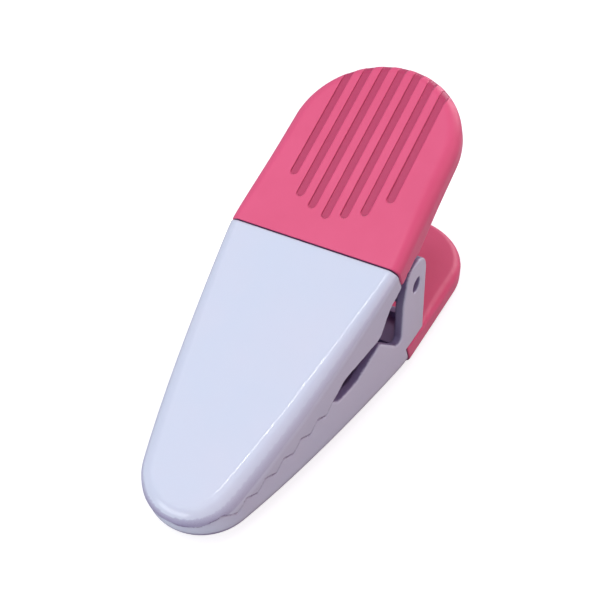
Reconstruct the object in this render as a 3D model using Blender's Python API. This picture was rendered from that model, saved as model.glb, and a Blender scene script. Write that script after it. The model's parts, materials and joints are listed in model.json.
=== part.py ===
"""Bag clip: two mirrored levers on one hinge pin, held shut by a torsion spring.

Clip frame: the origin is on the back lever's flat outer face, straight below the hinge pin.
+X runs along the pin, +Y towards the grips, +Z up from the back lever to the front one.

Lever frame: both levers are drawn in one frame of their own. X is across the lever, Y runs
along it towards the grip's end, and Z is the depth below the lever's flat outer face.
"""

import math

import bmesh
import bpy
from mathutils import Matrix, Vector

MM = 0.001

# Driving dimensions
LEVER_LENGTH = 110 * MM
JOINT_WIDTH = 39.8 * MM  # across the lever where the jaw meets the grip
TIP_RADIUS = 11.5 * MM
GRIP_END_RADIUS = 19.3 * MM
HALF_ANGLE = math.radians(12.9)  # each lever's tilt from the clip's middle plane
HALF_THICKNESS = 19.3 * MM  # outer face to the middle plane, at the lever frame's origin
TIP_Y = -65.3 * MM
JOINT_Y = -3.7 * MM  # where the jaw meets the grip
PIN_OFFSET = 5.2 * MM  # the pin's height over the middle plane
BITE_OFFSET = 1.9 * MM  # the tooth line's height over the middle plane

JAW_PLATE = 2.2 * MM
JAW_WALL = 2.1 * MM
RIB = 1.6 * MM  # thickness of the rib inside each jaw's tip
CAVITY_EDGE = 0.5 * MM  # least rounding of the floor inside a jaw
# Outer rounding: of the jaw at its tip and at the joint, of the grip at the joint and beyond
FRONT_EDGES = (4.2 * MM, 2.3 * MM, 2.3 * MM, 3.2 * MM)
BACK_EDGES = (5.0 * MM, 5.2 * MM, 3.6 * MM, 3.3 * MM)
BACK_SEAM_LEAN = 0.42  # how far the back lever's joint leans towards the grip, per depth
LAP_LENGTH = 1.75 * MM  # the back jaw's plate runs on over its tongue up to the leaning joint
GRIP_INNER_EDGES = (0.6 * MM, 2.2 * MM)  # rounding of the grips' inner edges: joint, beyond
EDGE_GROWTH = 22 * MM  # how far behind the joint a grip's rounding takes to grow
GRIP_THICKNESS = 7.4 * MM
GAP = 0.3 * MM  # between neighbouring pieces
SIDE_SLOPE = 0.112  # how fast the jaw narrows where it leaves the joint
TIP_TANGENT = 0.25  # radians round the tip circle where the jaw's side meets it

TOOTH_PITCH = 5.05 * MM
TOOTH_HEIGHT = 2.0 * MM
TOOTH_COUNT = 7
FIRST_TOOTH = -31.6 * MM  # along the tooth line, from the clip frame's middle point
TOOTH_GAP = 0.4 * MM  # between the two rows, square to the tooth line
TIP_DROP = 0.4 * MM  # how far the front jaw's rim passes the tooth line at the very tip

PIN_RADIUS = 1.7 * MM
PIN_LENGTH = 37.2 * MM
PIN_CHAMFER = 0.3 * MM
HOLE_RADIUS = 1.78 * MM
EAR_SWEEP_RADIUS = 8.1 * MM  # room in the front grip for the turning ears
LUG_OUTER = 17.3 * MM
LUG_THICKNESS = 2.4 * MM
LUG_RADIUS = 4.8 * MM
LUG_WRAP = math.radians(20)
LUG_BASE = (-4.5 * MM, 6 * MM)  # the lug's foot on the shoulder, along Y from the pin

TONGUE_HALF_WIDTH = 13 * MM
TONGUE_TOP = 2.7 * MM
TONGUE_BOTTOM = 5.3 * MM
TONGUE_END_Y = 32 * MM
TONGUE_CORNER = 5 * MM
SHOULDER_END_Y = 8 * MM
SHOULDER_STEP = 2 * MM
CROSS_WALL = 2.0 * MM
WALL_GRIP = 0.6 * MM  # how far an inner wall runs into the shell round it
DECK = 2.0 * MM  # plate between the ears, over the back grip
DECK_LIP = 4.5 * MM  # height of the deck's rear lip
SKIRT_DEPTH = 6.2 * MM  # the front grip's side skirt beside the joint
LOCK_RADIUS = 2.6 * MM
LOCK_PLACES = [(-7 * MM, 15 * MM), (7 * MM, 15 * MM), (0, 26 * MM)]

GROOVE_PITCH = 3.8 * MM
GROOVE_WIDTH = 1.8 * MM
GROOVE_DEPTH = 0.3 * MM
GROOVE_STARTS = [6.3 * MM, 7.6 * MM, 9.5 * MM, 14.0 * MM]  # from the joint, middle groove first

WIRE_RADIUS = 0.8 * MM
COIL_RADIUS = 3.7 * MM
COIL_TURNS = 4
COIL_PITCH = 1.95 * MM
LEG_REACH = 20 * MM

# Derived places
SIN, COS = math.sin(HALF_ANGLE), math.cos(HALF_ANGLE)
GRIP_END_Y = TIP_Y + LEVER_LENGTH
PIN_Y_BACK = -PIN_OFFSET * SIN
PIN_Y_FRONT = -PIN_Y_BACK
PIN_DEPTH_BACK = HALF_THICKNESS + PIN_OFFSET * COS
PIN_DEPTH_FRONT = HALF_THICKNESS - PIN_OFFSET * COS
PIN = Vector((0, 0, PIN_DEPTH_BACK))
BACK = Matrix.Translation((0, -PIN_Y_BACK, 0))
MIDDLE = PIN - PIN_OFFSET * Vector((0, -SIN, COS))
HALF_TURN = Matrix.Rotation(math.pi, 4, Vector((0, COS, SIN)))
FRONT = Matrix.Translation(MIDDLE) @ HALF_TURN @ Matrix.Translation(-MIDDLE) @ BACK
FAR = 60 * MM  # past every face of the clip

# Edge of the jaws' side walls behind the teeth: (Y from the pin, depth, corner radius),
# from the ear or the joint to the last tooth
BACK_WALL_EDGE = [
    (6.2 * MM, GRIP_THICKNESS + GAP, 0),
    (4.6 * MM, 30.7 * MM, 5.2 * MM),
    (-3.9 * MM, 30.7 * MM, 3.2 * MM),
    (-5.4 * MM, 22 * MM, 8 * MM),
    (-5.2 * MM, 12.3 * MM, 1.2 * MM),
    (-7.1 * MM, 12.3 * MM, 1.2 * MM),
    (-13.9 * MM, 18.1 * MM, 1.2 * MM),
    (-22.5 * MM, 13.4 * MM, 6 * MM),
    (-28.2 * MM, 13.1 * MM, 1.5 * MM),
]
FRONT_WALL_EDGE = [
    (-5.2 * MM, 6.3 * MM, 0),
    (-9.8 * MM, 7.3 * MM, 4 * MM),
    (-14.9 * MM, 11.7 * MM, 1.8 * MM),
    (-27.0 * MM, 7.9 * MM, 3.5 * MM),
    (-29.8 * MM, 9.1 * MM, 1.2 * MM),
]


# Outlines


def arc(centre, radius, start, end, steps):
    """Points round a circle, both ends included."""
    turn = [start + (end - start) * i / steps for i in range(steps + 1)]
    return [(centre[0] + radius * math.cos(t), centre[1] + radius * math.sin(t)) for t in turn]


def rounded(corners, steps=5):
    """An open outline through the corners (a, b, radius), each corner rounded to its radius."""
    points = []
    for i, (a, b, radius) in enumerate(corners):
        here = Vector((a, b))
        if radius == 0 or i in (0, len(corners) - 1):
            points.append((a, b))
            continue
        before = (Vector(corners[i - 1][:2]) - here).normalized()
        after = (Vector(corners[i + 1][:2]) - here).normalized()
        half = before.angle(after) / 2
        centre = here + (before + after).normalized() * radius / math.sin(half)
        first = here + before * radius / math.tan(half) - centre
        last = here + after * radius / math.tan(half) - centre
        sweep = first.angle_signed(last)
        for k in range(steps + 1):
            spoke = Matrix.Rotation(-sweep * k / steps, 2) @ first
            points.append(tuple(centre + spoke))
    return points


def jaw_side(steps=10):
    """One side of the jaw: a shallow curve from the joint to the tip circle."""
    start = Vector((JOINT_WIDTH / 2, JOINT_Y))
    centre_y = TIP_Y + TIP_RADIUS
    end_x = TIP_RADIUS * math.cos(TIP_TANGENT)
    end = Vector((end_x, centre_y - TIP_RADIUS * math.sin(TIP_TANGENT)))
    leaving = Vector((-SIDE_SLOPE, -1)).normalized()
    arriving = Vector((-math.sin(TIP_TANGENT), -math.cos(TIP_TANGENT)))
    along = (end - start).cross(arriving) / leaving.cross(arriving)
    bend = start + leaving * along
    curve = []
    for i in range(steps + 1):
        t = i / steps
        curve.append(tuple((1 - t) ** 2 * start + 2 * t * (1 - t) * bend + t * t * end))
    return curve


def grip_side():
    """One side of the grip: the tangent from the joint to the end circle."""
    start = Vector((JOINT_WIDTH / 2, JOINT_Y))
    centre = Vector((0, GRIP_END_Y - GRIP_END_RADIUS))
    spoke = start - centre
    turn = math.atan2(spoke.y, spoke.x) + math.acos(GRIP_END_RADIUS / spoke.length)
    return turn, (centre + GRIP_END_RADIUS * Vector((math.cos(turn), math.sin(turn))))


def lever_outline():
    """The whole lever seen from above, anticlockwise from the middle of the tip."""
    tip = arc((0, TIP_Y + TIP_RADIUS), TIP_RADIUS, -math.pi / 2, -TIP_TANGENT, 7)
    turn, touch = grip_side()
    end = arc((0, GRIP_END_Y - GRIP_END_RADIUS), GRIP_END_RADIUS, turn, math.pi / 2, 10)
    joint = Vector((JOINT_WIDTH / 2, JOINT_Y))
    straight = [tuple(joint.lerp(touch, t)) for t in (0.3, 0.65)]
    right = tip[:-1] + jaw_side()[::-1] + straight + end
    left = [(-x, y) for x, y in right[-2:0:-1]]
    return right + left


def inset(outline, distances):
    """The outline moved inwards, by its own distance at each point."""
    moved = []
    for i, (x, y) in enumerate(outline):
        ahead, behind = outline[(i + 1) % len(outline)], outline[i - 1]
        run = Vector((ahead[0] - behind[0], ahead[1] - behind[1])).normalized()
        moved.append((x - run.y * distances[i], y + run.x * distances[i]))
    return moved


def tooth_line(side):
    """Tooth corners (Y, depth) in the lever frame, from the slot out past the tip.

    side is +1 for the back lever and -1 for the front.
    """
    points = []
    for i in range(2 * TOOTH_COUNT - 1):
        along = FIRST_TOOTH - i * TOOTH_PITCH / 2
        over = BITE_OFFSET + TOOTH_HEIGHT * (0.5 if i % 2 == 0 else -0.5)
        points.append((along, over))
    points.append((TIP_Y, BITE_OFFSET - TIP_DROP))
    points.append((TIP_Y - 10 * MM, BITE_OFFSET - TIP_DROP))
    line = []
    for along, over in points:
        rise = side * over - TOOTH_GAP / 2
        line.append((along * COS - rise * SIN, HALF_THICKNESS + along * SIN + rise * COS))
    return line


# Meshes


def new_object(name, mesh, frame):
    thing = bpy.data.objects.new(name, mesh)
    bpy.context.scene.collection.objects.link(thing)
    thing.parent = frame
    return thing


def finish(name, shape, frame):
    """Turns a bmesh into an object in the frame, with its faces pointing out."""
    bmesh.ops.recalc_face_normals(shape, faces=shape.faces)
    mesh = bpy.data.meshes.new(name)
    shape.to_mesh(mesh)
    shape.free()
    return new_object(name, mesh, frame)


def stacked(name, loops, frame):
    """A closed solid through a stack of outlines [(x, y, z), ...] of equal length."""
    shape = bmesh.new()
    rings = [[shape.verts.new(p) for p in loop] for loop in loops]
    for low, high in zip(rings, rings[1:]):
        for i, vert in enumerate(low):
            j = (i + 1) % len(low)
            shape.faces.new((vert, low[j], high[j], high[i]))
    shape.faces.new(rings[0])
    shape.faces.new(rings[-1])
    return finish(name, shape, frame)


def slab(name, outline, low, high, frame):
    """An outline in X and Y, extruded between two depths."""
    return stacked(name, [[(x, y, z) for x, y in outline] for z in (low, high)], frame)


def side_slab(name, outline, low, high, frame):
    """An outline in Y and Z, extruded between two places across the lever."""
    return stacked(name, [[(x, y, z) for y, z in outline] for x in (low, high)], frame)


def box(name, low, high, frame):
    corners = [(low[0], low[1]), (high[0], low[1]), (high[0], high[1]), (low[0], high[1])]
    return slab(name, corners, low[2], high[2], frame)


def combine(target, tool, operation="DIFFERENCE"):
    """Cuts, joins or trims the target with a hidden tool."""
    step = target.modifiers.new(tool.name, "BOOLEAN")
    step.operation = operation
    step.solver = "EXACT"
    step.object = tool
    tool.hide_render = True
    tool.display_type = "WIRE"


def edge_radius(y, at_joint, beyond):
    """A grip edge's rounding, which grows smoothly over the first stretch behind the joint."""
    t = min(max((y - JOINT_Y) / EDGE_GROWTH, 0), 1)
    return at_joint + (beyond - at_joint) * t * t * (3 - 2 * t)


def edge_loops(outline, radii, outwards, base, steps=5):
    """Outlines up a rounded edge: from the face in to the side wall, or back again."""
    loops = []
    for i in range(steps + 1):
        turn = math.pi / 2 * i / steps
        rise = [r * (1 - math.cos(turn)) for r in radii]
        inwards = [r * (1 - math.sin(turn)) for r in radii]
        ring = inset(outline, inwards)
        loops.append([(x, y, base + outwards * h) for (x, y), h in zip(ring, rise)])
    return loops


# Jaws


def tub(name, outline, radii, base, frame):
    """A block whose lowest edge is rounded, from a base depth to far past the clip."""
    loops = edge_loops(outline, radii, 1, base)
    return stacked(name, loops + [[(x, y, FAR + base) for x, y in outline]], frame)


def jaw_edge_radius(y, at_tip, at_joint):
    """A jaw edge's rounding, which changes smoothly from the joint to the tip."""
    t = min(max((JOINT_Y - y) / (JOINT_Y - TIP_Y), 0), 1)
    return at_joint + (at_tip - at_joint) * t * (2 - t)


def jaw_shell(name, frame, wall_edge, pin_y, side, edges, lean):
    """The hollow jaw: plate, side walls with the tooth line along their rims, and a rib."""
    outline = lever_outline()
    radii = [jaw_edge_radius(y, *edges[:2]) for _, y in outline]
    jaw = tub(name, outline, radii, 0, frame)
    inside = inset(outline, [JAW_WALL] * len(outline))
    inner_radii = [max(radius - JAW_WALL, CAVITY_EDGE) for radius in radii]
    combine(jaw, tub(f"{name}_cavity", inside, inner_radii, JAW_PLATE, frame))
    middle = JAW_WALL / 2
    tip = edges[0]
    corner = arc((TIP_Y + tip, tip), tip - middle, -math.pi, -math.pi / 2, 4)
    ends = [(FIRST_TOOTH, middle), (FIRST_TOOTH, FAR - MM), (TIP_Y + middle, FAR - MM)]
    combine(jaw, side_slab(f"{name}_rib", corner + ends, -RIB / 2, RIB / 2, frame), "UNION")
    rim = tooth_line(side)
    edge = rounded([(y + pin_y, z, radius) for y, z, radius in wall_edge] + [(*rim[0], 0)])
    end_y = JOINT_Y - GAP / 2
    below = [(rim[-1][0], -MM), (end_y + lean * (edge[0][1] + MM), -MM), (end_y, edge[0][1])]
    profile = below + [p for p in edge[:-1] if p[0] != end_y] + rim
    combine(jaw, side_slab(f"{name}_profile", profile, -FAR, FAR, frame), "INTERSECT")
    return jaw


def tongue_outline(start_y, grown):
    """The tongue and its shoulder seen from above, grown by a clearance."""
    half, shoulder_end = LUG_OUTER + grown, SHOULDER_END_Y + grown
    outline = [(half, start_y), (half, shoulder_end)]
    outline.append((TONGUE_HALF_WIDTH + grown, shoulder_end + SHOULDER_STEP))
    centre = (TONGUE_HALF_WIDTH - TONGUE_CORNER, TONGUE_END_Y - TONGUE_CORNER)
    outline += arc(centre, TONGUE_CORNER + grown, 0, math.pi / 2, 4)
    return outline + [(-x, y) for x, y in outline[::-1]]


def tongue(name, frame, wall_depth):
    """What ties the jaw into its grip: a cross wall, and a shouldered tongue with lock holes."""
    outline = tongue_outline(JOINT_Y - CROSS_WALL, 0)
    plate = slab(f"{name}_tongue", outline, TONGUE_TOP, TONGUE_BOTTOM, frame)
    for i, place in enumerate(LOCK_PLACES):
        circle = arc(place, LOCK_RADIUS, 0, 2 * math.pi, 16)[:-1]
        combine(plate, slab(f"{name}_lock_hole_{i}", circle, 0, FAR, frame))
    half = LUG_OUTER + WALL_GRIP
    low = (-half, JOINT_Y - CROSS_WALL, JAW_PLATE - WALL_GRIP)
    wall = box(f"{name}_cross_wall", low, (half, JOINT_Y - GAP / 2, wall_depth), frame)
    return plate, wall


def pin_hole(name, frame, pin_y, pin_depth):
    round_hole = arc((pin_y, pin_depth), HOLE_RADIUS, 0, 2 * math.pi, 24)[:-1]
    return side_slab(f"{name}_pin_hole", round_hole, -FAR, FAR, frame)


def lug(name, frame, side):
    """A hinge lug of the front jaw: it hangs from the shoulder down to the pin."""
    centre = (PIN_Y_FRONT, PIN_DEPTH_FRONT)
    outline = arc(centre, LUG_RADIUS, -LUG_WRAP, math.pi + LUG_WRAP, 14)
    outline += [(PIN_Y_FRONT + y, TONGUE_BOTTOM - MM) for y in LUG_BASE]
    ends = sorted((side * LUG_OUTER, side * (LUG_OUTER - LUG_THICKNESS)))
    return side_slab(f"{name}_lug_{side + 1}", outline, ends[0], ends[1], frame)


def back_jaw(frame):
    """White back jaw; its side walls rise into the two ears that hold the pin."""
    name = "back_jaw"
    jaw = jaw_shell(name, frame, BACK_WALL_EDGE, PIN_Y_BACK, 1, BACK_EDGES, BACK_SEAM_LEAN)
    half = LUG_OUTER + MM
    end_y, low = BACK_WALL_EDGE[0][0] + PIN_Y_BACK - MM, BACK_WALL_EDGE[0][1]
    deck = box(f"{name}_deck", (-half, JOINT_Y - CROSS_WALL, low), (half, end_y, low + DECK), frame)
    top = (half, end_y - 0.1 * MM, low + DECK_LIP)
    lip = box(f"{name}_lip", (-half, end_y - DECK, low + MM), top, frame)
    lap_low = (-half + 0.3 * MM, JOINT_Y - MM, JAW_PLATE - 0.6 * MM)
    lap_high = (half - 0.3 * MM, JOINT_Y + LAP_LENGTH, TONGUE_TOP + 0.3 * MM)
    lap = box(f"{name}_lap", lap_low, lap_high, frame)
    for part in [*tongue(name, frame, low + DECK / 2), lap, deck, lip]:
        combine(jaw, part, "UNION")
    combine(jaw, pin_hole(name, frame, PIN_Y_BACK, PIN_DEPTH_BACK))
    return jaw


def front_jaw(frame):
    """White front jaw; two lugs inside the ears carry it on the pin."""
    name = "front_jaw"
    jaw = jaw_shell(name, frame, FRONT_WALL_EDGE, PIN_Y_FRONT, -1, FRONT_EDGES, 0)
    for part in tongue(name, frame, FRONT_WALL_EDGE[0][1] - 0.5 * MM):
        combine(jaw, part, "UNION")
    for side in (-1, 1):
        combine(jaw, lug(name, frame, side), "UNION")
    combine(jaw, pin_hole(name, frame, PIN_Y_FRONT, PIN_DEPTH_FRONT))
    return jaw


# Grips


def grip_body(name, frame, edges, lean):
    """The handle's rounded block, hollowed for the jaw's tongue and grooved on its outer face."""
    outline = lever_outline()
    outer = [edge_radius(y, *edges[2:]) for _, y in outline]
    inner = [edge_radius(y, *GRIP_INNER_EDGES) for _, y in outline]
    loops = edge_loops(outline, outer, 1, 0) + edge_loops(outline, inner, -1, GRIP_THICKNESS)[::-1]
    grip = stacked(name, loops, frame)
    end_y, rest = JOINT_Y + GAP / 2, GRIP_THICKNESS + GAP
    ahead = [(end_y + lean * (rest + MM), -MM), (end_y, rest), (end_y, FAR), (-2 * FAR, FAR)]
    combine(grip, side_slab(f"{name}_end", ahead + [(-2 * FAR, -MM)], -FAR, FAR, frame))
    socket = socket_solid(name, frame)
    combine(grip, socket)
    last = len(GROOVE_STARTS) - 1
    for place in range(-last, last + 1):
        combine(grip, groove(name, frame, place))
    return grip


def socket_solid(name, frame):
    """Room for the tongue and its shoulder, with a post left standing in each lock hole."""
    outline = tongue_outline(JOINT_Y - MM, GAP)
    socket = slab(f"{name}_socket", outline, TONGUE_TOP - GAP, TONGUE_BOTTOM + GAP, frame)
    for i, place in enumerate(LOCK_PLACES):
        circle = arc(place, LOCK_RADIUS - GAP, 0, 2 * math.pi, 16)[:-1]
        combine(socket, slab(f"{name}_lock_post_{i}", circle, -FAR, FAR, frame))
    return socket


def groove(name, frame, place):
    """One round-ended groove, running out over the grip's end."""
    centre = (place * GROOVE_PITCH, JOINT_Y + GROOVE_STARTS[abs(place)] + GROOVE_WIDTH / 2)
    outline = arc(centre, GROOVE_WIDTH / 2, math.pi, 2 * math.pi, 6)
    outline += [(centre[0] + GROOVE_WIDTH / 2, FAR), (centre[0] - GROOVE_WIDTH / 2, FAR)]
    return slab(f"{name}_groove_{place + len(GROOVE_STARTS)}", outline, -MM, GROOVE_DEPTH, frame)


def back_grip(frame):
    return grip_body("back_grip", frame, BACK_EDGES, BACK_SEAM_LEAN)


def front_grip(frame):
    """The front grip also opens downwards for the lugs, and is notched round the ears."""
    name = "front_grip"
    grip = grip_body(name, frame, FRONT_EDGES, 0)
    half = LUG_OUTER + GAP
    low = (-half, JOINT_Y - MM, TONGUE_TOP - GAP)
    combine(grip, box(f"{name}_pocket", low, (half, SHOULDER_END_Y + GAP, FAR), frame))
    swing = arc((PIN_Y_FRONT, PIN_DEPTH_FRONT), EAR_SWEEP_RADIUS, 0, 2 * math.pi, 40)[:-1]
    corner = [(JOINT_Y - MM, SKIRT_DEPTH), (PIN_Y_FRONT - 2 * MM, SKIRT_DEPTH)]
    corner += [(y, FAR) for y, _ in corner[::-1]]
    for side in (-1, 1):
        ends = sorted((side * (half - 0.2 * MM), side * FAR))
        for label, cut in (("notch", swing), ("corner", corner)):
            combine(grip, side_slab(f"{name}_{label}_{side + 1}", cut, ends[0], ends[1], frame))
    return grip


# Hinge


def pivot_pin(frame):
    """Steel pin, its chamfered ends sunk in the ears."""
    end = PIN_LENGTH / 2
    shoulder = end - PIN_CHAMFER
    loops = []
    for x, less in ((-end, PIN_CHAMFER), (-shoulder, 0), (shoulder, 0), (end, PIN_CHAMFER)):
        circle = arc((0, PIN.z), PIN_RADIUS - less, 0, 2 * math.pi, 24)[:-1]
        loops.append([(x, y, z) for y, z in circle])
    return stacked("pivot_pin", loops, frame)


def tangent_turn(point, sense):
    """Where a wire from an outside point meets the coil; sense is the way it then winds."""
    reach = math.hypot(*point)
    return math.atan2(point[1], point[0]) + sense * math.acos(COIL_RADIUS / reach)


def spring_path():
    """Centre line of the wire: back leg, coil, front leg, in the clip frame."""
    seat = GRIP_THICKNESS + GAP + WIRE_RADIUS
    back_foot = (LEG_REACH, seat - PIN.z)
    rise = PIN_DEPTH_FRONT - seat
    turn = 2 * HALF_ANGLE
    front_foot = (
        LEG_REACH * math.cos(turn) - rise * math.sin(turn),
        LEG_REACH * math.sin(turn) + rise * math.cos(turn),
    )
    start = tangent_turn(back_foot, -1)
    end = tangent_turn(front_foot, 1)
    while end > start:
        end -= 2 * math.pi
    end -= 2 * math.pi * (COIL_TURNS - 1)
    turns = (start - end) / (2 * math.pi)
    half_width = turns * COIL_PITCH / 2
    steps = round(turns * 20)
    path = [(-half_width, back_foot[0], back_foot[1])]
    for i in range(steps + 1):
        t = i / steps
        y, z = arc((0, 0), COIL_RADIUS, start + (end - start) * t, 0, 1)[0]
        path.append((half_width * (2 * t - 1), y, z))
    path.append((half_width, front_foot[0], front_foot[1]))
    return [Vector(p) + PIN for p in path]


def torsion_spring(frame):
    """Steel torsion spring round the pin, with one leg under each grip."""
    curve = bpy.data.curves.new("torsion_spring", "CURVE")
    curve.dimensions = "3D"
    curve.bevel_depth = WIRE_RADIUS
    curve.bevel_resolution = 2
    curve.use_fill_caps = True
    path = spring_path()
    line = curve.splines.new("POLY")
    line.points.add(len(path) - 1)
    for point, place in zip(line.points, path):
        point.co = (*place, 1)
    return new_object("torsion_spring", curve, frame)


# Materials


def plastic(name, colour, roughness):
    return material(name, colour, roughness, 0.0)


def material(name, colour, roughness, metallic):
    made = bpy.data.materials.new(name)
    made.use_nodes = True
    shader = made.node_tree.nodes["Principled BSDF"]
    shader.inputs["Base Color"].default_value = (*colour, 1)
    shader.inputs["Roughness"].default_value = roughness
    shader.inputs["Metallic"].default_value = metallic
    return made


def smooth(thing):
    """Shades the round stretches smooth and keeps the corners sharp."""
    if thing.type == "MESH":
        thing.data.shade_smooth()
        thing.data.set_sharp_from_angle(angle=math.radians(32))


def frame_at(name, matrix):
    frame = bpy.data.objects.new(name, None)
    bpy.context.scene.collection.objects.link(frame)
    frame.empty_display_size = 10 * MM
    frame.matrix_world = matrix
    return frame


def build():
    for thing in list(bpy.data.objects):
        bpy.data.objects.remove(thing, do_unlink=True)
    fixed = frame_at("clip_frame", Matrix())
    hinge = frame_at("hinge_axis", Matrix.Translation(PIN))
    back = frame_at("back_lever_frame", BACK)
    front = frame_at("front_lever_frame", FRONT)
    back.parent = fixed
    front.parent = hinge
    front.matrix_parent_inverse = Matrix.Translation(-PIN)

    white = plastic("white_plastic", (0.78, 0.80, 0.88), 0.16)
    pink = plastic("pink_plastic", (0.76, 0.13, 0.27), 0.42)
    steel = material("steel", (0.55, 0.55, 0.57), 0.28, 1.0)
    pieces = [
        (back_jaw(back), white),
        (back_grip(back), pink),
        (pivot_pin(fixed), steel),
        (torsion_spring(fixed), steel),
        (front_jaw(front), white),
        (front_grip(front), pink),
    ]
    for thing, finish_material in pieces:
        thing.data.materials.append(finish_material)
        smooth(thing)


build()
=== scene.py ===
"""Looks of the bag clip: finely moulded shells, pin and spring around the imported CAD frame.

Each plastic piece is a distance function: plates, walls, teeth and pockets joined with moulded
radii. Its surface is meshed on a grid, and every point is then put exactly on the function.
Both levers are drawn in one lever frame, in millimetres: X across, Y towards the grip's end,
Z the depth below the flat outer face.
"""

import collections
import itertools
import json
import math

import bpy
import numpy as np
from mathutils import Euler, Matrix, Vector


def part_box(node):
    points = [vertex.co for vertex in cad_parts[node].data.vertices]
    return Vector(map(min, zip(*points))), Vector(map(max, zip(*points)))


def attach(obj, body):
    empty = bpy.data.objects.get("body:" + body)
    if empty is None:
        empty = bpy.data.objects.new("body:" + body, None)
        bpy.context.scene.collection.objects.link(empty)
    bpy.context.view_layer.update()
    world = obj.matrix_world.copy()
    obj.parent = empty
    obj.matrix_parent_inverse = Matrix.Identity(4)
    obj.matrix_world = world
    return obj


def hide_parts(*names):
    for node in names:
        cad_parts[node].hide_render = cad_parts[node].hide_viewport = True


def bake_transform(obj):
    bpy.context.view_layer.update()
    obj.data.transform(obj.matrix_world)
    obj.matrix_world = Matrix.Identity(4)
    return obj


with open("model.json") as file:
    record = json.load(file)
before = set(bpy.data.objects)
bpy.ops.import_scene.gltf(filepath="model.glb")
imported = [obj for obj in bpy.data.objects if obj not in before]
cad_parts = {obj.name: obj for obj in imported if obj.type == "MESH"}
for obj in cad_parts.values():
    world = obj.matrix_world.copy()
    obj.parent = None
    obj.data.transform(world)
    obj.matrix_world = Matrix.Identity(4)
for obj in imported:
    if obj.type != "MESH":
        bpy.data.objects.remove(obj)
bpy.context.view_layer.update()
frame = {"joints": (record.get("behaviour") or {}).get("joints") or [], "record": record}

MM = 0.001


def millimetres(vector):
    return Vector(vector) / MM


# What the frame gives
hinge = millimetres(frame["joints"][0]["pos_m"])
front_up = Vector(next(m["axis"] for m in frame["record"]["mounts"] if m["name"] == "front_face"))
back_jaw_low, back_jaw_high = (millimetres(corner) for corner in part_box("back_jaw"))
back_grip_low, back_grip_high = (millimetres(corner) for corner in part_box("back_grip"))
pin_low, pin_high = (millimetres(corner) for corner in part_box("pivot_pin"))

HALF_ANGLE = math.atan2(-front_up.y, front_up.z) / 2
SIN, COS = math.sin(HALF_ANGLE), math.cos(HALF_ANGLE)
PIN_OFFSET = 5.2  # the pin's height over the clip's middle plane
HALF_THICKNESS = hinge.z - PIN_OFFSET * COS
PIN_SHIFT = PIN_OFFSET * SIN  # the pin's place along each lever, either way from its origin
JOINT_HALF = back_jaw_high.x
TIP_Y = back_jaw_low.y - PIN_SHIFT
GRIP_END_Y = back_grip_high.y - PIN_SHIFT
GRIP_THICKNESS = back_grip_high.z
GAP = 0.3
JOINT_Y = back_grip_low.y - PIN_SHIFT - GAP / 2
EAR_TOP = back_jaw_high.z
FRONT_PIN_Z = 2 * HALF_THICKNESS - hinge.z  # the pin's depth below the front lever's outer face
PIN_RADIUS = (pin_high.z - pin_low.z) / 2
PIN_HALF_LENGTH = pin_high.x

# Plan outline
TIP_RADIUS = 11.5
GRIP_END_RADIUS = 19.3
SIDE_SLOPE = 0.112
TIP_TANGENT = 0.25
JOINT_SOFTNESS = 0.4
TIP_CENTRE = TIP_Y + TIP_RADIUS
END_CENTRE = GRIP_END_Y - GRIP_END_RADIUS

# Walls and edges
PLATE = 2.2
WALL = 2.1
RIB_HALF = 0.8  # of the rib inside each jaw's tip
FILLET = 0.6  # rounding where inner walls meet
# Outer rounding at the tip, of the jaw and the grip at the joint, and beyond; then how far the
# joint leans towards the grip per depth, and the rounding of the jaw's rims
Edges = collections.namedtuple("Edges", "tip jaw grip beyond lean rim")
FRONT_EDGES = Edges(4.2, 2.3, 2.3, 3.2, 0.0, 0.3)
BACK_EDGES = Edges(5.0, 5.2, 3.6, 3.3, 0.42, 0.4)
REST = GRIP_THICKNESS + GAP  # depth of a jaw's edges that lie over the grip
INNER_EDGES = (0.6, 2.2)
EDGE_GROWTH = 22.0
SEAM_EDGE = 0.22

# Teeth
TOOTH_PITCH = 5.05
TOOTH_HEIGHT = 2.0
TOOTH_COUNT = 7
FIRST_TOOTH = -31.6
TOOTH_GAP = 0.4
TIP_DROP = 0.4  # how far the front jaw's rim comes down past the tooth line at the tip
BITE_OFFSET = 1.9

# Hinge and tongue
HOLE_RADIUS = 1.78
EAR_SWEEP_RADIUS = 8.1
LUG_OUTER = 17.3
LUG_THICKNESS = 2.4
LUG_RADIUS = 4.8
TONGUE_HALF_WIDTH = 13.0
TONGUE_DEPTHS = (2.7, 5.3)
TONGUE_END_Y = 32.0
SHOULDER_END_Y = 8.0
LOCK_RADIUS = 2.6
LOCK_PLACES = [(-7.0, 15.0), (7.0, 15.0), (0.0, 26.0)]
SKIRT_DEPTH = 6.2
CROSS_WALL = (-2.6, -0.9)  # the wall across a jaw, in front of the joint
WALL_GRIP = 0.6  # how far inner parts run into the plate and the sides
DECK_LIFT = 0.9  # the deck under the spring, over the grip
DECK_THICKNESS = 1.8
DECK_END = 5.0  # behind the pin
LIP_LENGTH = 2.0
LIP_HEIGHT = 3.6
LAP_HALF_WIDTH = 17.8  # where the back jaw's plate runs on over its tongue
LAP_LENGTH = 1.75
FRONT_WALL_DEPTH = 5.4
LUG_FOOT = (-4.5, 6.0)  # the lug's ends along the tongue, from the pin
HOLE_EDGE = 0.2  # rounding of the pin's hole

# Grooves
GROOVE_PITCH = 3.8
GROOVE_WIDTH = 1.8
GROOVE_DEPTH = 0.3
GROOVE_STARTS = [6.3, 7.6, 9.5, 14.0]

# Spring
WIRE_RADIUS = 0.8
COIL_RADIUS = 3.7
COIL_TURNS = 4
COIL_PITCH = 1.95
LEG_REACH = 20.0

STEP = 0.4  # grid step of the moulded surfaces
WALL_CELL = 0.16  # width of the grid cells that hold a groove's walls

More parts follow.
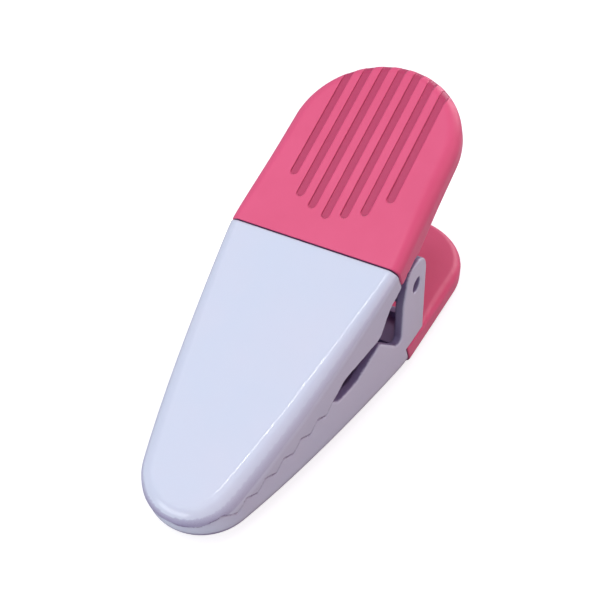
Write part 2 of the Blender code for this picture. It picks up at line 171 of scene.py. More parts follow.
BACK = Matrix.Translation((0, PIN_SHIFT, 0))
MIDDLE = hinge - PIN_OFFSET * Vector((0, -SIN, COS))
HALF_TURN = Matrix.Rotation(math.pi, 4, Vector((0, COS, SIN)))
FRONT = Matrix.Translation(MIDDLE) @ HALF_TURN @ Matrix.Translation(-MIDDLE) @ BACK


# Distance functions: negative inside the material


def round_and(a, b, radius):
    """Where both hold, with the outer corner between them rounded."""
    over = np.hypot(np.maximum(a + radius, 0), np.maximum(b + radius, 0))
    return np.minimum(np.maximum(a, b), -radius) + over


def round_or(a, b, radius):
    """Where either holds, with the inner corner between them filled."""
    under = np.hypot(np.maximum(radius - a, 0), np.maximum(radius - b, 0))
    return np.maximum(np.minimum(a, b), radius) - under


def block(low, high, *places):
    """A box with its low and high corners, over any number of axes."""
    reach = None
    for least, most, place in zip(low, high, places):
        side = np.maximum(least - place, place - most)
        reach = side if reach is None else np.maximum(reach, side)
    return reach


def polygon(corners, u, v):
    """Distance to a closed outline in the plane of u and v."""
    u, v = np.broadcast_arrays(u, v)
    near = np.full(u.shape, np.inf)
    inside = np.zeros(u.shape, bool)
    for (u0, v0), (u1, v1) in zip(corners, corners[1:] + corners[:1]):
        run_u, run_v = u1 - u0, v1 - v0
        length = run_u * run_u + run_v * run_v
        if length == 0:
            continue
        along = np.clip(((u - u0) * run_u + (v - v0) * run_v) / length, 0, 1)
        off_u, off_v = u - u0 - along * run_u, v - v0 - along * run_v
        near = np.minimum(near, off_u * off_u + off_v * off_v)
        if run_v != 0:
            inside ^= ((v0 > v) != (v1 > v)) & (u < run_u * (v - v0) / run_v + u0)
    return np.sqrt(near) * np.where(inside, -1, 1)


def arc(centre, radius, start, end, step=0.3):
    """Points round a circle, both ends included."""
    count = max(2, math.ceil(abs(end - start) * radius / step))
    turns = [start + (end - start) * i / count for i in range(count + 1)]
    return [(centre[0] + radius * math.cos(t), centre[1] + radius * math.sin(t)) for t in turns]


def rounded(corners):
    """An open outline through the corners (a, b, radius), each corner rounded to its radius."""
    points = [corners[0][:2]]
    for before, corner, after in zip(corners, corners[1:], corners[2:]):
        here = Vector(corner[:2])
        back = (Vector(before[:2]) - here).normalized()
        ahead = (Vector(after[:2]) - here).normalized()
        radius = corner[2]
        half = back.angle(ahead) / 2
        centre = here + (back + ahead).normalized() * radius / math.sin(half)
        first = here + back * radius / math.tan(half) - centre
        last = here + ahead * radius / math.tan(half) - centre
        start = math.atan2(first.y, first.x)
        sweep = math.remainder(math.atan2(last.y, last.x) - start, 2 * math.pi)
        points += arc(centre, radius, start, start + sweep)
    return points + [corners[-1][:2]]


# The lever's plan


def jaw_bend():
    """Ends and bend of the shallow curve down the jaw's side."""
    start = Vector((JOINT_HALF, JOINT_Y))
    end = Vector((math.cos(TIP_TANGENT), -math.sin(TIP_TANGENT))) * TIP_RADIUS
    end.y += TIP_CENTRE
    leaving = Vector((-SIDE_SLOPE, -1)).normalized()
    arriving = Vector((-math.sin(TIP_TANGENT), -math.cos(TIP_TANGENT)))
    along = (end - start).cross(arriving) / leaving.cross(arriving)
    return start, start + leaving * along, end


def plan(x, y):
    """Distance to the lever's outline seen from above."""
    x = np.abs(x)
    start, bend, end = jaw_bend()
    held = np.clip(y, end.y - 5, JOINT_Y + 10)
    a, b, c = start.y - 2 * bend.y + end.y, 2 * (bend.y - start.y), start.y - held
    t = (-b - np.sqrt(b * b - 4 * a * c)) / (2 * a)
    width = (1 - t) ** 2 * start.x + 2 * t * (1 - t) * bend.x + t * t * end.x
    run_x = 2 * (1 - t) * (bend.x - start.x) + 2 * t * (end.x - bend.x)
    run_y = 2 * (1 - t) * (bend.y - start.y) + 2 * t * (end.y - bend.y)
    jaw = (x - width) * -run_y / np.hypot(run_x, run_y)
    spoke = Vector((JOINT_HALF, JOINT_Y - END_CENTRE))
    turn = math.atan2(spoke.y, spoke.x) + math.acos(GRIP_END_RADIUS / spoke.length)
    grip = x * math.cos(turn) + (y - END_CENTRE) * math.sin(turn) - GRIP_END_RADIUS
    near = np.maximum(JOINT_SOFTNESS - np.abs(jaw - grip), 0)
    side = np.maximum(jaw, grip) + near * near / (4 * JOINT_SOFTNESS)
    tip_circle = np.hypot(x, y - TIP_CENTRE) - TIP_RADIUS
    end_circle = np.hypot(x, y - END_CENTRE) - GRIP_END_RADIUS
    side = np.where(y > END_CENTRE + GRIP_END_RADIUS * math.sin(turn), end_circle, side)
    return np.where(y < end.y, tip_circle, side)


def grown_edge(y, at_joint, beyond):
    """A rounding that grows smoothly over the first stretch behind the joint."""
    t = np.clip((y - JOINT_Y) / EDGE_GROWTH, 0, 1)
    return at_joint + (beyond - at_joint) * t * t * (3 - 2 * t)


# Jaws


def tooth_line(side):
    """Tooth corners (Y, depth) from the slot out past the tip; side is +1 back, -1 front."""
    crest = []
    for i in range(2 * TOOTH_COUNT - 1):
        over = TOOTH_HEIGHT * (0.5 if i % 2 == 0 else -0.5)
        crest.append((FIRST_TOOTH - i * TOOTH_PITCH / 2, BITE_OFFSET + over))
    crest += [(TIP_Y, BITE_OFFSET - TIP_DROP), (TIP_Y - 10, BITE_OFFSET - TIP_DROP)]
    line = []
    for along, over in crest:
        rise = side * over - TOOTH_GAP / 2
        line.append((along * COS - rise * SIN, HALF_THICKNESS + along * SIN + rise * COS))
    return line


def back_wall_edge():
    """Edge of the back jaw's side wall, from the ear's foot to the last tooth."""
    return [
        (6.2, REST, 0),
        (4.6, EAR_TOP, 5.2),
        (-3.9, EAR_TOP, 3.2),
        (-5.4, 22, 8),
        (-5.2, 12.3, 1.2),
        (-7.1, 12.3, 1.2),
        (-13.9, 18.1, 1.2),
        (-22.5, 13.4, 6),
        (-28.2, 13.1, 1.5),
    ]


def front_wall_edge():
    """Edge of the front jaw's side wall, from the joint to the last tooth."""
    return [(-5.2, 6.3, 0), (-9.8, 7.3, 4), (-14.9, 11.7, 1.8), (-27.0, 7.9, 3.5), (-29.8, 9.1, 1.2)]


def wall_profile(edge, pin_y, side, lean):
    """The jaw's side view: everything under its wall edge and its teeth."""
    rim = tooth_line(side)
    end_y = JOINT_Y - GAP / 2
    upper = rounded([(y + pin_y, z, radius) for y, z, radius in edge] + [(*rim[0], 0)])
    low = -3
    below = [(rim[-1][0], low), (end_y + lean * (REST - low), low), (end_y, REST), (end_y, upper[0][1])]
    return below + upper[:-1] + rim


def jaw_shell(x, y, z, profile, edges):
    """Plate, side walls and the rib in the tip, cut along the wall edge and the teeth."""
    along = np.clip((JOINT_Y - y) / (JOINT_Y - TIP_Y), 0, 1)
    edge = edges.jaw + (edges.tip - edges.jaw) * along * (2 - along)
    outer = round_and(plan(x, y), -z, edge)
    hollow = round_and(plan(x, y) + WALL, PLATE - z, np.maximum(edge - WALL, 0.5))
    shell = np.maximum(outer, -hollow)
    rib = np.maximum(block((-RIB_HALF, TIP_Y), (RIB_HALF, FIRST_TOOTH), x, y), outer + WALL / 2)
    shell = round_or(shell, rib, FILLET)
    return round_and(shell, polygon(profile, y, z), edges.rim)


def tongue(x, y, z):
    """The tongue that holds the grip, with its shoulder and lock holes."""
    shoulder = block((-LUG_OUTER + 0.9, JOINT_Y - 1.5), (LUG_OUTER - 0.9, SHOULDER_END_Y), x, y)
    strip = block((-TONGUE_HALF_WIDTH, JOINT_Y), (TONGUE_HALF_WIDTH, TONGUE_END_Y), x, y)
    shape = np.minimum(shoulder, strip)
    for place_x, place_y in LOCK_PLACES:
        shape = np.maximum(shape, LOCK_RADIUS - np.hypot(x - place_x, y - place_y))
    thickness = np.maximum(TONGUE_DEPTHS[0] - z, z - TONGUE_DEPTHS[1])
    return round_and(shape, thickness, 0.4)


def cross_wall(x, y, z, depth):
    half = LUG_OUTER + WALL_GRIP
    low = (-half, JOINT_Y + CROSS_WALL[0], PLATE - WALL_GRIP)
    return block(low, (half, JOINT_Y + CROSS_WALL[1], depth), x, y, z)


def pin_hole(y, z, pin_y, pin_z):
    return np.hypot(y - pin_y, z - pin_z) - HOLE_RADIUS


def back_jaw(x, y, z):
    """White back jaw; its side walls rise into the two ears that hold the pin."""
    profile = wall_profile(back_wall_edge(), -PIN_SHIFT, 1, BACK_EDGES.lean)
    jaw = jaw_shell(x, y, z, profile, BACK_EDGES)
    low = GRIP_THICKNESS + DECK_LIFT
    start_y = JOINT_Y + CROSS_WALL[0]
    end_y = DECK_END - PIN_SHIFT
    half = LUG_OUTER + 1
    deck = block((-half, start_y, low), (half, end_y, low + DECK_THICKNESS), x, y, z)
    lip = block((-half, end_y - LIP_LENGTH, low), (half, end_y, low + LIP_HEIGHT), x, y, z)
    lap_low = (-LAP_HALF_WIDTH, start_y, PLATE - WALL_GRIP)
    lap_high = (LAP_HALF_WIDTH, JOINT_Y + LAP_LENGTH, TONGUE_DEPTHS[0] + 0.3)
    lap = block(lap_low, lap_high, x, y, z)
    inner = np.minimum(np.minimum(deck, lap), cross_wall(x, y, z, low + 1))
    inner = np.minimum(inner, round_and(lip, z - low - LIP_HEIGHT, 0.4))
    jaw = round_or(jaw, inner, FILLET)
    jaw = np.minimum(jaw, tongue(x, y, z))
    return round_and(jaw, -pin_hole(y, z, -PIN_SHIFT, hinge.z), HOLE_EDGE)


def front_jaw(x, y, z):
    """White front jaw; two lugs inside the ears carry it on the pin."""
    profile = wall_profile(front_wall_edge(), PIN_SHIFT, -1, FRONT_EDGES.lean)
    jaw = jaw_shell(x, y, z, profile, FRONT_EDGES)
    jaw = round_or(jaw, cross_wall(x, y, z, FRONT_WALL_DEPTH), FILLET)
    foot = TONGUE_DEPTHS[0] + 0.8
    wrap = math.radians(20)
    outline = arc((PIN_SHIFT, FRONT_PIN_Z), LUG_RADIUS, -wrap, math.pi + wrap)
    outline += [(PIN_SHIFT + end, foot) for end in LUG_FOOT]
    across = np.abs(np.abs(x) - LUG_OUTER + LUG_THICKNESS / 2) - LUG_THICKNESS / 2
    lugs = round_and(polygon(outline, y, z), across, 0.3)
    held = round_or(tongue(x, y, z), lugs, FILLET)
    jaw = np.minimum(jaw, held)
    return round_and(jaw, -pin_hole(y, z, PIN_SHIFT, FRONT_PIN_Z), HOLE_EDGE)


# Grips


def grip_block(x, y, z, edges):
    """The handle's rounded block, before its grooves and pockets."""
    outline = plan(x, y)
    body = round_and(outline, -z, grown_edge(y, edges.grip, edges.beyond))
    body = round_and(body, z - GRIP_THICKNESS, grown_edge(y, *INNER_EDGES))
    front = JOINT_Y + GAP / 2 - y
    leaning = (front + edges.lean * (REST - z)) / math.hypot(1, edges.lean)
    return round_and(body, np.maximum(front, leaning), SEAM_EDGE)


def grooves(x, y, z):
    """Seven round-ended grooves that run out over the grip's end."""
    shape = None
    last = len(GROOVE_STARTS) - 1
    for place in range(-last, last + 1):
        start = JOINT_Y + GROOVE_STARTS[abs(place)] + GROOVE_WIDTH / 2
        off = np.hypot(x - place * GROOVE_PITCH, np.minimum(y - start, 0)) - GROOVE_WIDTH / 2
        shape = off if shape is None else np.minimum(shape, off)
    return np.maximum(shape, z - GRIP_THICKNESS / 2)


def socket(x, y, z):
    """Room for the tongue and its shoulder, with a post left standing in each lock hole."""
    half = LUG_OUTER + GAP
    shoulder = block((-half, JOINT_Y - 2), (half, SHOULDER_END_Y + GAP), x, y)
    width = TONGUE_HALF_WIDTH + GAP
    strip = block((-width, JOINT_Y), (width, TONGUE_END_Y + GAP), x, y)
    shape = np.minimum(shoulder, strip)
    for place_x, place_y in LOCK_PLACES:
        shape = np.maximum(shape, LOCK_RADIUS - GAP - np.hypot(x - place_x, y - place_y))
    return np.maximum(shape, np.maximum(TONGUE_DEPTHS[0] - GAP - z, z - TONGUE_DEPTHS[1] - GAP))


def grooved_grip(x, y, z, edges):
    body = grip_block(x, y, z, edges)
    lands = round_and(body, -grooves(x, y, z), 0.1)
    return np.minimum(lands, body + GROOVE_DEPTH * np.clip(-plan(x, y) / 3, 0.1, 1))


def back_grip(x, y, z):
    return round_and(grooved_grip(x, y, z, BACK_EDGES), -socket(x, y, z), SEAM_EDGE)


def front_grip(x, y, z):
    """The front grip also opens downwards for the lugs, and is notched round the ears."""
    half = LUG_OUTER + GAP
    open_below = block((-half, JOINT_Y - 2), (half, SHOULDER_END_Y + GAP), x, y)
    pocket = np.maximum(open_below, TONGUE_DEPTHS[0] - GAP - z)
    outside = LUG_OUTER - np.abs(x)
    sweep = np.hypot(y - PIN_SHIFT, z - FRONT_PIN_Z) - EAR_SWEEP_RADIUS
    corner = np.maximum(y - PIN_SHIFT + 2, SKIRT_DEPTH - z)
    notch = np.maximum(round_or(sweep, corner, 1.0), outside)
    hollow = np.minimum(pocket, socket(x, y, z))
    grip = round_and(grooved_grip(x, y, z, FRONT_EDGES), -hollow, SEAM_EDGE)
    return round_and(grip, -notch, 0.45)


# Meshing


def gradient(solid, points, reach):
    """Slope of the distance function at each point, from central differences."""
    slope = np.zeros_like(points)
    for axis in range(3):
        shift = np.zeros(3)
        shift[axis] = reach
        ahead, behind = points + shift, points - shift
        slope[:, axis] = solid(*ahead.T) - solid(*behind.T)
    return slope / (2 * reach)


def settle(solid, points, rounds=2):
    """Moves each point along the slope until it is on the surface."""
    for _ in range(rounds):
        slope = gradient(solid, points, 0.02)
        steep = np.maximum((slope * slope).sum(1), 0.25)
        move = (solid(*points.T) / steep)[:, None] * slope
        points = points - np.clip(move, -STEP / 2, STEP / 2)
    return points


def edge_cells(change, axis):
    """Grid edges that cross the surface, and the four cells round each of them."""
    others = [a for a in range(3) if a != axis]
    edges = np.argwhere(change)
    edges = edges[(edges[:, others] > 0).all(1)]
    ring = []
    for first, second in ((1, 1), (0, 1), (0, 0), (1, 0)):
        cell = edges.copy()
        cell[:, others[0]] -= first
        cell[:, others[1]] -= second
        ring.append(cell)
    return edges, ring


def grid_lines(low, high, walls):
    """Grid lines along one axis, with a narrow cell round each upright wall."""
    lines = np.arange(low - 2 * STEP, high + 3 * STEP, STEP)
    for wall in walls:
        lines = lines[np.abs(lines - wall) > 0.6 * STEP]
    near = [wall + side * WALL_CELL / 2 for wall in walls for side in (-1, 1)]
    return np.sort(np.append(lines, near))


def moulded_surface(solid, low, high, walls):
    """Points and quads of a distance function's surface, by the surface nets method.

    walls holds, for each axis, the places that need a narrow cell.
    """
    axes = [grid_lines(*ends) for ends in zip(low, high, walls)]
    grid = np.meshgrid(*axes, indexing="ij", sparse=True)
    values = np.broadcast_to(solid(*grid), [len(a) for a in axes])
    inside = values < 0
    count = np.zeros([len(a) - 1 for a in axes], np.uint8)
    for corner in itertools.product((0, 1), repeat=3):
        part = tuple(slice(c, c + n) for c, n in zip(corner, count.shape))
        count += inside[part]
    crossed = (count > 0) & (count < 8)
    cells = np.argwhere(crossed)
    number = np.full(crossed.shape, -1)
    number[crossed] = np.arange(len(cells))

    total, hits = np.zeros((len(cells), 3)), np.zeros(len(cells))
    for axis in range(3):
        unit = np.eye(3, dtype=int)[axis]
        others = [a for a in range(3) if a != axis]
        for offset in itertools.product((0, 1), repeat=2):
            start = cells.copy()
            start[:, others] += offset
            near, far = values[tuple(start.T)], values[tuple((start + unit).T)]
            crosses = (near < 0) != (far < 0)
            share = near[crosses] / (near[crosses] - far[crosses])
            total[crosses] += start[crosses] + share[:, None] * unit
            hits += crosses
    places = (total / hits[:, None]).T
    points = np.stack([np.interp(place, np.arange(len(a)), a) for place, a in zip(places, axes)], 1)

    quads = []
    for axis in range(3):
        lower = tuple(slice(0, -1) if a == axis else slice(0, None) for a in range(3))
        upper = tuple(slice(1, None) if a == axis else slice(0, None) for a in range(3))
        edges, ring = edge_cells(inside[lower] != inside[upper], axis)
        quad = np.stack([number[tuple(cell.T)] for cell in ring], 1)
        turned = inside[tuple(edges.T)] == (axis == 1)
        quad[turned] = quad[turned][:, ::-1]
        quads.append(quad)
    return points, np.concatenate(quads)


def build_mesh(name, points, faces):
    mesh = bpy.data.meshes.new(name)
    mesh.vertices.add(len(points))
    mesh.vertices.foreach_set("co", points.astype(np.float32).ravel())
    mesh.loops.add(faces.size)
    mesh.loops.foreach_set("vertex_index", faces.astype(np.int32).ravel())
    mesh.polygons.add(len(faces))
    mesh.polygons.foreach_set("loop_start", np.arange(0, faces.size, faces.shape[1], dtype=np.int32))
    mesh.update(calc_edges=True)
    mesh.validate()
    return mesh


def new_piece(name, mesh, body, node, material):
    """An object for the mesh that rides on its body and stands for its CAD node."""
    piece = bpy.data.objects.new(name, mesh)
    bpy.context.scene.collection.objects.link(piece)
    piece.data.materials.append(material)
    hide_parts(node)
    if body:
        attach(piece, body)
    return piece


def unit_normals(solid, points):
    slope = gradient(solid, points, 0.06)
    return slope / np.linalg.norm(slope, axis=1)[:, None]


def moulded(name, solid, lever, body, material, marks):
    """A plastic piece in place, with smooth normals and its marks as point attributes."""
    low, high = RANGES[name]
    points, quads = moulded_surface(solid, low, high, GRIP_WALLS if "grip" in name else NO_WALLS)
    points = settle(solid, points)
    mesh = build_mesh(name, points, quads)
    normals = unit_normals(solid, points)
    turn = np.array(lever.to_3x3())
    mesh.transform(Matrix.Scale(MM, 4) @ lever)
    mesh.shade_smooth()
    mesh.normals_split_custom_set_from_vertices(normals @ turn.T)
    for mark, values in marks(*points.T).items():
        layer = mesh.attributes.new(mark, "FLOAT", "POINT")
        layer.data.foreach_set("value", np.broadcast_to(values, len(points)).astype(np.float32))
    return new_piece(f"{name}_moulding", mesh, body, name, material)


GROOVE_PLACES = [place * GROOVE_PITCH for place in range(1 - len(GROOVE_STARTS), len(GROOVE_STARTS))]
GROOVE_WALLS = [x + side * GROOVE_WIDTH / 2 for x in GROOVE_PLACES for side in (-1, 1)]
GRIP_WALLS = (GROOVE_WALLS, [], [0.12])
NO_WALLS = ([], [], [])
RANGES = {
    "back_jaw": ((-JOINT_HALF, TIP_Y, 0), (JOINT_HALF, TONGUE_END_Y, EAR_TOP)),
    "front_jaw": ((-JOINT_HALF, TIP_Y, 0), (JOINT_HALF, TONGUE_END_Y, FRONT_PIN_Z + LUG_RADIUS)),
    "back_grip": ((-JOINT_HALF, JOINT_Y, 0), (JOINT_HALF, GRIP_END_Y, GRIP_THICKNESS)),
    "front_grip": ((-JOINT_HALF, JOINT_Y, 0), (JOINT_HALF, GRIP_END_Y, GRIP_THICKNESS)),
}


def inner_shade_marks(x, y, z):
    """Marks a jaw's surfaces that face into the clip, its inner sides and rims, where the white plastic
    gets painted shade.
    """
    return {"inside": np.clip((-plan(x, y) - 0.15) / 0.2, 0, 1) * (z > PLATE / 2)}


def groove_floors(x, y, z):
    """Marks the grooves, right out to the grip's rim."""
    return {"groove": np.clip(0.5 - grooves(x, y, z) / 0.1, 0, 1)}


# Pin and spring


def lathe(name, outline, steps, centre):
    """A turned shape round X from (x, radius) pairs whose first and last radius is zero."""
    points, faces = [], []
    for x, radius in outline:
        for i in range(steps):
            turn = 2 * math.pi * i / steps
            points.append(centre + Vector((x, radius * math.cos(turn), radius * math.sin(turn))))
    for row in range(len(outline) - 1):
        for i in range(steps):
            j = (i + 1) % steps
            low, high = row * steps, (row + 1) * steps
            faces.append((low + i, high + i, high + j, low + j))
    faces.append(tuple(range(steps)))
    last = (len(outline) - 1) * steps
    faces.append(tuple(range(last + steps - 1, last - 1, -1)))
    mesh = bpy.data.meshes.new(name)
    mesh.from_pydata([point * MM for point in points], [], faces)
    mesh.shade_smooth()
    mesh.set_sharp_from_angle(angle=math.radians(40))
    return mesh


def pivot_pin(material):
    """A ground steel pin with rounded ends and a centre dimple in each."""
    end, edge = PIN_HALF_LENGTH, 0.35
    half = [(end - 0.35, 0.02), (end - 0.3, 0.3), (end, 0.62)]
    half += [(x, r) for x, r in arc((end - edge, PIN_RADIUS - edge), edge, 0, math.pi / 2, 0.06)]
    outline = [(-x, r) for x, r in half] + half[::-1]
    mesh = lathe("pivot_pin_turned", outline, 48, hinge)
    return new_piece("pivot_pin_turned", mesh, "back_lever", "pivot_pin", material)


def wire_path():
    """Centre line of the spring: back leg, coil, front leg, with soft bends where they meet."""
    seat = GRIP_THICKNESS + GAP + WIRE_RADIUS
    rise = FRONT_PIN_Z - seat
    sin, cos = math.sin(2 * HALF_ANGLE), math.cos(2 * HALF_ANGLE)
    front_foot = (LEG_REACH * cos - rise * sin, LEG_REACH * sin + rise * cos)
    feet = [(LEG_REACH, seat - hinge.z), front_foot]
    turns = []
    for (y, z), sense in zip(feet, (-1, 1)):
        turns.append(math.atan2(z, y) + sense * math.acos(COIL_RADIUS / math.hypot(y, z)))
    start, end = turns
    while end > start:
        end -= 2 * math.pi
    end -= 2 * math.pi * (COIL_TURNS - 1)
    count = (start - end) / (2 * math.pi)
    half_width = count * COIL_PITCH / 2
    coil = []
    steps = round(count * 48)
    for i in range(steps + 1):
        turn = start + (end - start) * i / steps
        x = half_width * (2 * i / steps - 1)
        coil.append(Vector((x, COIL_RADIUS * math.cos(turn), COIL_RADIUS * math.sin(turn))))
    first, last = Vector((-half_width, *feet[0])), Vector((half_width, *feet[1]))
    back = [first.lerp(coil[0], i / 24) for i in range(24)]
    front = [coil[-1].lerp(last, (i + 1) / 24) for i in range(24)]
    return [point + hinge for point in back + coil + front]


def sweep_wire(name, path, radius, sides=20):
    """A round wire along the path, with rounded ends."""
    points, faces = [], []
    tangents = [(b - a).normalized() for a, b in zip([path[0]] + path[:-1], path[1:] + [path[-1]])]
    tangents[0], tangents[-1] = (path[1] - path[0]).normalized(), (path[-1] - path[-2]).normalized()
    side = tangents[0].cross(Vector((1, 0, 0))).normalized()
    rings = []
    for point, along in zip(path, tangents):
        side = (side - along * side.dot(along)).normalized()
        rings.append((point, side.copy(), along.cross(side), along))
    caps = [(math.sin(t), 1 - math.cos(t)) for t in (math.radians(a) for a in (15, 40, 65, 90))]
    edge = 0.3
    layout = []
    for share, back in caps[:-1]:
        layout.append((rings[0], radius - edge + edge * share, edge * (back - 1)))
    layout += [(ring, radius, 0) for ring in rings]
    for share, back in caps[-2::-1]:
        layout.append((rings[-1], radius - edge + edge * share, edge * (1 - back)))
    for (point, across, up, along), size, ahead in layout:
        for i in range(sides):
            turn = 2 * math.pi * i / sides
            spoke = (across * math.cos(turn) + up * math.sin(turn)) * size
            points.append((point + along * ahead + spoke) * MM)
    for row in range(len(layout) - 1):
        for i in range(sides):
            j = (i + 1) % sides
            low, high = row * sides, (row + 1) * sides
            faces.append((low + i, low + j, high + j, high + i))
    faces.append(tuple(range(sides - 1, -1, -1)))
    last = (len(layout) - 1) * sides
    faces.append(tuple(range(last, last + sides)))
    mesh = bpy.data.meshes.new(name)
    mesh.from_pydata(points, [], faces)
    mesh.shade_smooth()
    mesh.set_sharp_from_angle(angle=math.radians(50))
    return mesh


def torsion_spring(material):
    """Steel torsion spring: a coil with a leg on the back grip and a leg on the front grip."""
    mesh = sweep_wire("torsion_spring_wire", wire_path(), WIRE_RADIUS)
    piece = new_piece("torsion_spring_wire", mesh, None, "torsion_spring", material)
    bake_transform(piece)
    return piece


# Materials


class Nodes:
    """Short calls for building one material's node tree."""

    def __init__(self, name):
        self.material = bpy.data.materials.new(name)
        self.material.use_nodes = True
        self.tree = self.material.node_tree
        self.shader = self.tree.nodes["Principled BSDF"]

    def add(self, kind, **inputs):
        node = self.tree.nodes.new(kind)
        for socket, value in inputs.items():
            self.set(node, socket.replace("_", " "), value)
        return node

    def set(self, node, socket, value):
        if isinstance(value, bpy.types.NodeSocket):
            self.tree.links.new(value, node.inputs[socket])
        else:
            node.inputs[socket].default_value = value

    def noise(self, scale, detail=2.0, roughness=0.5):
        place = self.add("ShaderNodeTexCoord")
        node = self.add("ShaderNodeTexNoise", Scale=scale, Detail=detail, Roughness=roughness)
        self.tree.links.new(place.outputs["Object"], node.inputs["Vector"])
        return node.outputs["Fac"]

    def span(self, value, low, high, out_low, out_high):
        node = self.add("ShaderNodeMapRange")
        for number, setting in enumerate((value, low, high, out_low, out_high)):
            self.set(node, number, setting)
        return node.outputs["Result"]

    def mix(self, share, first, second):
        node = self.tree.nodes.new("ShaderNodeMix")
        node.data_type = "RGBA"
        self.set(node, 0, share)
        self.set(node, 6, first)
        self.set(node, 7, second)
        return node.outputs[2]

    def maths(self, operation, first, second):
        node = self.tree.nodes.new("ShaderNodeMath")
        node.operation = operation
        self.set(node, 0, first)
        self.set(node, 1, second)
        return node.outputs[0]

    def mark(self, name):
        node = self.tree.nodes.new("ShaderNodeAttribute")
        node.attribute_name = name
        return node.outputs["Fac"]

    def shade(self, distance):
        """How much of the sky a point sees, from 0 to 1."""
        node = self.tree.nodes.new("ShaderNodeAmbientOcclusion")
        node.samples = 8
        node.inputs["Distance"].default_value = distance
        return node.outputs["AO"]

    def bump(self, height, strength, distance, under=None):
        node = self.add("ShaderNodeBump", Height=height, Strength=strength, Distance=distance)
        if under is not None:
            self.tree.links.new(under, node.inputs["Normal"])
        return node.outputs["Normal"]

    def finish(self, **inputs):
        for socket, value in inputs.items():
            self.set(self.shader, socket.replace("_", " "), value)
        return self.material


WHITE = (0.74, 0.79, 0.93, 1)
WHITE_WARM = (0.77, 0.79, 0.92, 1)
# Painted shade: the dark violet of the jaws' inner sides and rims where little sky reaches them
WHITE_PAINTED_SHADE = (0.30, 0.24, 0.43, 1)
PINK = (0.93, 0.118, 0.262, 1)
PINK_DARK = (0.89, 0.105, 0.24, 1)
PINK_GROOVE = (0.60, 0.052, 0.150, 1)
# Painted shade: the dark violet of the grips where little sky reaches them
PINK_PAINTED_SHADE = (0.05, 0.03, 0.15, 1)


def white_plastic():
    """Glossy moulded plastic with a faint flow pattern, and painted shade deep inside the jaws."""
    n = Nodes("white_gloss_plastic")
    tone = n.span(n.noise(45, 3), 0.35, 0.65, 0, 1)
    colour = n.mix(tone, WHITE, WHITE_WARM)
    # Painted shade: inner sides and rims turn dark violet as the sky they see shrinks
    painted_shade_share = n.span(n.shade(26 * MM), 0.6, 0.98, 1, 0.15)
    colour = n.mix(n.maths("MULTIPLY", n.mark("inside"), painted_shade_share), colour, WHITE_PAINTED_SHADE)
    gloss = n.span(n.noise(320, 4, 0.6), 0.3, 0.7, 0.08, 0.14)
    gloss = n.maths("ADD", gloss, n.maths("MULTIPLY", n.mark("inside"), 0.2))
    swell = n.bump(n.noise(70, 1), 0.12, 0.06 * MM)
    grain = n.bump(n.noise(2600, 2), 0.05, 0.01 * MM, swell)
    return n.finish(
        Base_Color=colour,
        Roughness=gloss,
        IOR=1.5,
        Normal=grain,
        Subsurface_Weight=0.08,
        Subsurface_Radius=(1.0, 0.9, 1.0),
        Subsurface_Scale=0.8 * MM,
    )


def pink_plastic():
    """Satin moulded plastic with a fine grain; the groove floors are a deeper tone, and painted shade
    darkens it where little sky reaches.
    """
    n = Nodes("pink_satin_plastic")
    tone = n.span(n.noise(60, 3), 0.35, 0.65, 0, 1)
    colour = n.mix(tone, PINK, PINK_DARK)
    colour = n.mix(n.mark("groove"), colour, PINK_GROOVE)
    # Painted shade: the pink turns dark violet where it sees little sky
    colour = n.mix(n.span(n.shade(9 * MM), 0.15, 0.5, 1, 0), colour, PINK_PAINTED_SHADE)
    sheen = n.span(n.noise(500, 4, 0.6), 0.3, 0.7, 0.36, 0.46)
    swell = n.bump(n.noise(90, 1), 0.10, 0.05 * MM)
    grain = n.bump(n.noise(3800, 3, 0.6), 0.25, 0.02 * MM, swell)
    return n.finish(
        Base_Color=colour,
        Roughness=sheen,
        IOR=1.46,
        Normal=grain,
        Sheen_Weight=0.22,
        Sheen_Roughness=0.4,
        Sheen_Tint=(1, 0.7, 0.85, 1),
    )


def steel(name, streak, low, high):
    """Bare steel with fine drawing or grinding marks along it."""
    n = Nodes(name)
    place = n.add("ShaderNodeTexCoord")
    stretch = n.add("ShaderNodeMapping", Scale=streak)
    n.tree.links.new(place.outputs["Object"], stretch.inputs["Vector"])
    marks = n.add("ShaderNodeTexNoise", Scale=2500.0, Detail=3.0)
    n.tree.links.new(stretch.outputs["Vector"], marks.inputs["Vector"])
    tone = n.span(n.noise(180, 3), 0.3, 0.7, 0, 1)
    colour = n.mix(tone, (0.62, 0.62, 0.64, 1), (0.48, 0.48, 0.51, 1))
    rough = n.span(marks.outputs["Fac"], 0.3, 0.7, low, high)
    fine = n.bump(marks.outputs["Fac"], 0.2, 0.01 * MM)
    return n.finish(Base_Color=colour, Metallic=1.0, Roughness=rough, Normal=fine)


# Stage

WORLD_LIGHT = (0.322, 0.28, 0.322, 1)
BACKDROP = (1, 1, 1, 1)
FLOOR_GLOW = 0.78  # only the camera sees it


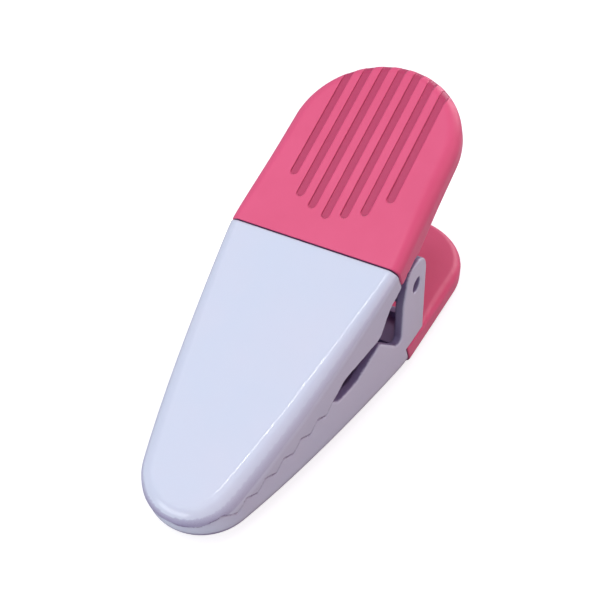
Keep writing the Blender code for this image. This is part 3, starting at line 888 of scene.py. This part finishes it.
def pale_floor():
    """A wide floor that curves up behind into a backdrop."""
    half, depth, rise, bend = 1.6, 1.0, 1.2, 0.4
    profile = [(-1.2, 0)] + [(depth + y, bend + z) for y, z in arc((0, 0), bend, -math.pi / 2, 0, 0.03)]
    profile.append((depth + bend, rise))
    points = [(x, y, z - 0.0002) for y, z in profile for x in (-half, half)]
    faces = [(2 * i, 2 * i + 1, 2 * i + 3, 2 * i + 2) for i in range(len(profile) - 1)]
    mesh = bpy.data.meshes.new("pale_floor")
    mesh.from_pydata(points, [], faces)
    mesh.shade_smooth()
    floor = bpy.data.objects.new("pale_floor", mesh)
    bpy.context.scene.collection.objects.link(floor)
    n = Nodes("pale_paper")
    tone = n.mix(n.noise(9, 3), (0.46, 0.44, 0.46, 1), (0.48, 0.46, 0.48, 1))
    seen = n.add("ShaderNodeLightPath").outputs["Is Camera Ray"]
    glow = n.maths("MULTIPLY", seen, FLOOR_GLOW)
    floor.data.materials.append(
        n.finish(Base_Color=tone, Roughness=0.9, Emission_Color=(1, 1, 1, 1), Emission_Strength=glow)
    )
    return floor


def lamp(name, place, aim, size, power, colour):
    light = bpy.data.lights.new(name, "AREA")
    light.shape = "RECTANGLE"
    light.size, light.size_y = size
    light.energy = power
    light.color = colour
    thing = bpy.data.objects.new(name, light)
    bpy.context.scene.collection.objects.link(thing)
    thing.location = place
    thing.rotation_euler = (Vector(aim) - Vector(place)).to_track_quat("-Z", "Y").to_euler()
    return thing


def studio():
    """A cool soft box overhead, a thin strip for the edge lights, and three fills round the clip.

    The world gives a soft violet light, but the camera sees it as a white backdrop.
    """
    lamp("overhead", (-0.18, -0.34, 0.82), (0, -0.01, 0.02), (1.0, 1.0), 3.6, (0.79, 0.98, 1.04))
    lamp("side_fill", (0.6, 0.2, 0.35), (0, 0.0, 0.02), (0.5, 0.5), 0.78, (1.0, 0.57, 0.57))
    lamp("back_fill", (0.1, 0.6, 0.3), (0, 0.03, 0.02), (0.4, 0.4), 1.5, (1.0, 0.95, 0.98))
    lamp("front_fill", (-0.2, -0.6, 0.12), (0, -0.05, 0.02), (0.4, 0.2), 0.8, (0.93, 0.98, 1.0))
    strip = lamp("strip", (-0.03, -0.15, 0.5), (0, -0.03, 0.03), (0.012, 0.34), 0.35, (1, 1, 1))
    along = Vector((0.72, 0.62, 0.31))
    facing = (Vector((0, -0.03, 0.03)) - strip.location).normalized()
    across = along.cross(facing).normalized()
    strip.rotation_euler = Matrix((across, facing.cross(across) * -1, -facing)).transposed().to_euler()
    world = bpy.data.worlds.new("studio")
    world.use_nodes = True
    tree = world.node_tree
    seen = tree.nodes.new("ShaderNodeLightPath").outputs["Is Camera Ray"]
    tint = tree.nodes.new("ShaderNodeMix")
    tint.data_type = "RGBA"
    tint.inputs[6].default_value = WORLD_LIGHT
    tint.inputs[7].default_value = BACKDROP
    tree.links.new(seen, tint.inputs[0])
    tree.links.new(tint.outputs[2], tree.nodes["Background"].inputs["Color"])
    bpy.context.scene.world = world


def camera():
    """A close view from the front right, down onto the front lever."""
    lens = bpy.data.cameras.new("camera")
    lens.sensor_width = 36
    lens.lens = 53.23
    eye = bpy.data.objects.new("camera", lens)
    bpy.context.scene.collection.objects.link(eye)
    eye.location = Vector((72.76, -136.17, 144.06)) * MM
    eye.rotation_euler = Euler([math.radians(a) for a in (49.461, 1.003, 30.125)])
    bpy.context.scene.camera = eye


def build():
    white, pink = white_plastic(), pink_plastic()
    pieces = [
        ("back_jaw", back_jaw, BACK, "back_lever", "white_plastic", white, inner_shade_marks),
        ("back_grip", back_grip, BACK, "back_lever", "pink_plastic", pink, groove_floors),
        ("front_jaw", front_jaw, FRONT, "front_lever", "white_plastic", white, inner_shade_marks),
        ("front_grip", front_grip, FRONT, "front_lever", "pink_plastic", pink, groove_floors),
    ]
    for name, solid, lever, body, slot, material, marks in pieces:
        moulded(name, solid, lever, body, material, marks)
    pivot_pin(steel("ground_steel", (1, 12, 12), 0.22, 0.36))
    torsion_spring(steel("drawn_steel", (8, 1, 1), 0.2, 0.38))
    pale_floor()
    studio()
    camera()
    bpy.context.scene.view_settings.view_transform = "Standard"


build()
